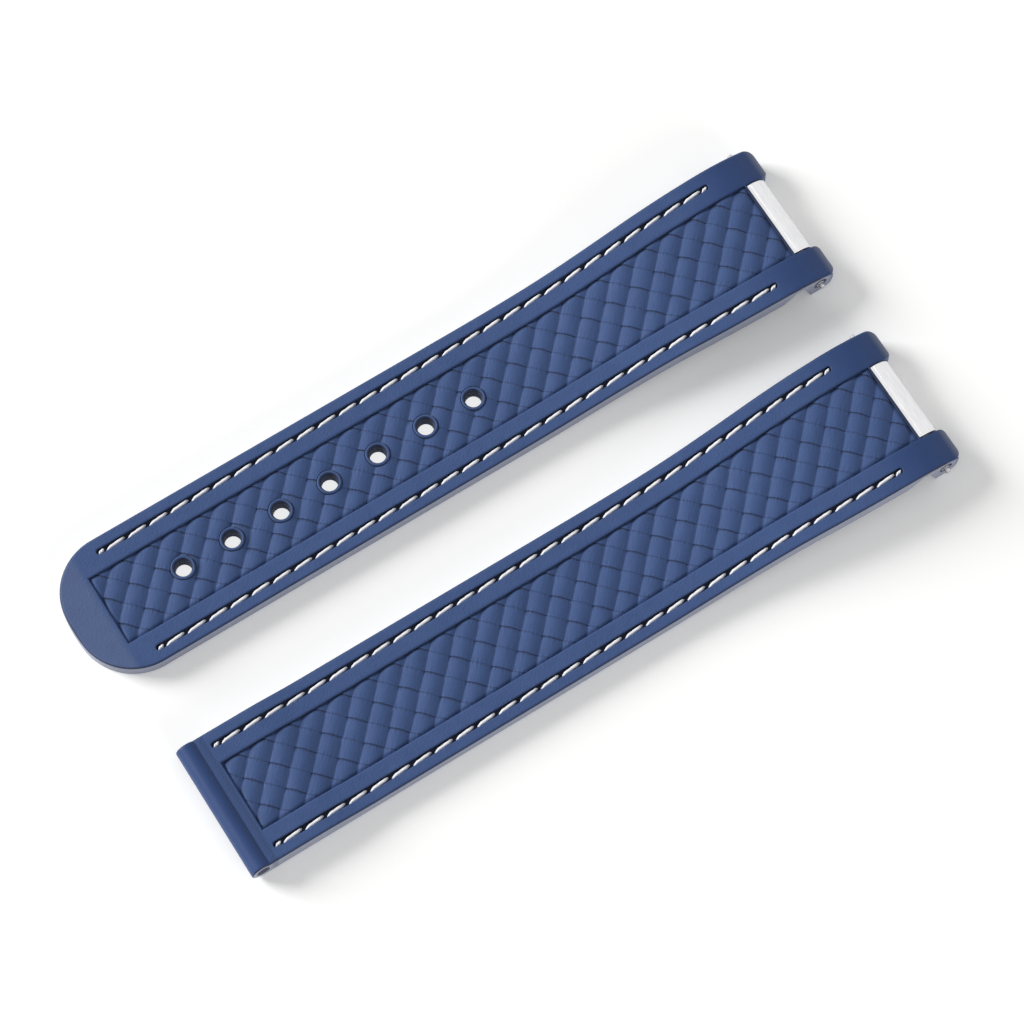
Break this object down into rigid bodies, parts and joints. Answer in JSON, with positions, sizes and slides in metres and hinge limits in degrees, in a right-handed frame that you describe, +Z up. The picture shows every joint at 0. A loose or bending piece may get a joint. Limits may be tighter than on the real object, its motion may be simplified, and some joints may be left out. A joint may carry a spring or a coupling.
{
  "type": "rubber watch strap pair",
  "caption": "Two-piece rubber dive strap with a woven-look panel, stitched rails, ringed holes, curved horns round a steel end link, and sprung bars at the watch ends.",
  "frame": {"origin": "under the middle of the pair, on the surface that it lies on", "axes": "+X along the straps to the watch ends, +Y across them to the strap with the holes, +Z up out of the woven faces"},
  "size_m": [0.1042, 0.0498, 0.0044],
  "materials": {
    "rubber": "matt moulded",
    "link_steel": "brushed with a polished strip",
    "steel": "turned",
    "thread": "twisted polyester thread"
  },
  "bodies": {
    "straps": {"hole_strap": "rubber", "hole_end_link": "link_steel", "clasp_strap": "rubber", "clasp_end_link": "link_steel", "hole_face_stitches_left": "thread", "hole_face_stitches_right": "thread", "hole_back_stitches_left": "thread", "hole_back_stitches_right": "thread", "clasp_face_stitches_left": "thread", "clasp_face_stitches_right": "thread", "clasp_back_stitches_left": "thread", "clasp_back_stitches_right": "thread"},
    "hole_bar": {"hole_bar_tube": "steel", "hole_bar_spring": "steel"},
    "hole_tip_left": {"hole_bar_tip_left": "steel"},
    "hole_tip_right": {"hole_bar_tip_right": "steel"},
    "clasp_bar": {"clasp_bar_tube": "steel", "clasp_bar_spring": "steel"},
    "clasp_tip_left": {"clasp_bar_tip_left": "steel"},
    "clasp_tip_right": {"clasp_bar_tip_right": "steel"}
  },
  "joints": [
    {"name": "hole_bar_turn", "type": "hinge", "parent": "straps", "child": "hole_bar", "pos_m": [0.0496, 0.0143, 0.0022], "axis": [0, 1, 0], "continuous": true},
    {"name": "hole_tip_left_press", "type": "slide", "parent": "hole_bar", "child": "hole_tip_left", "axis": [0, -1, 0], "range_m": [0, 0.0009], "stiffness_N_per_m": 800, "springref_m": -0.0015, "deforming": ["hole_bar_spring"]},
    {"name": "hole_tip_right_press", "type": "slide", "parent": "hole_bar", "child": "hole_tip_right", "axis": [0, 1, 0], "range_m": [0, 0.0009], "stiffness_N_per_m": 800, "springref_m": -0.0015, "deforming": ["hole_bar_spring"]},
    {"name": "clasp_bar_turn", "type": "hinge", "parent": "straps", "child": "clasp_bar", "pos_m": [0.049, -0.0143, 0.0022], "axis": [0, 1, 0], "continuous": true},
    {"name": "clasp_tip_left_press", "type": "slide", "parent": "clasp_bar", "child": "clasp_tip_left", "axis": [0, -1, 0], "range_m": [0, 0.0009], "stiffness_N_per_m": 800, "springref_m": -0.0015, "deforming": ["clasp_bar_spring"]},
    {"name": "clasp_tip_right_press", "type": "slide", "parent": "clasp_bar", "child": "clasp_tip_right", "axis": [0, 1, 0], "range_m": [0, 0.0009], "stiffness_N_per_m": 800, "springref_m": -0.0015, "deforming": ["clasp_bar_spring"]}
  ]
}
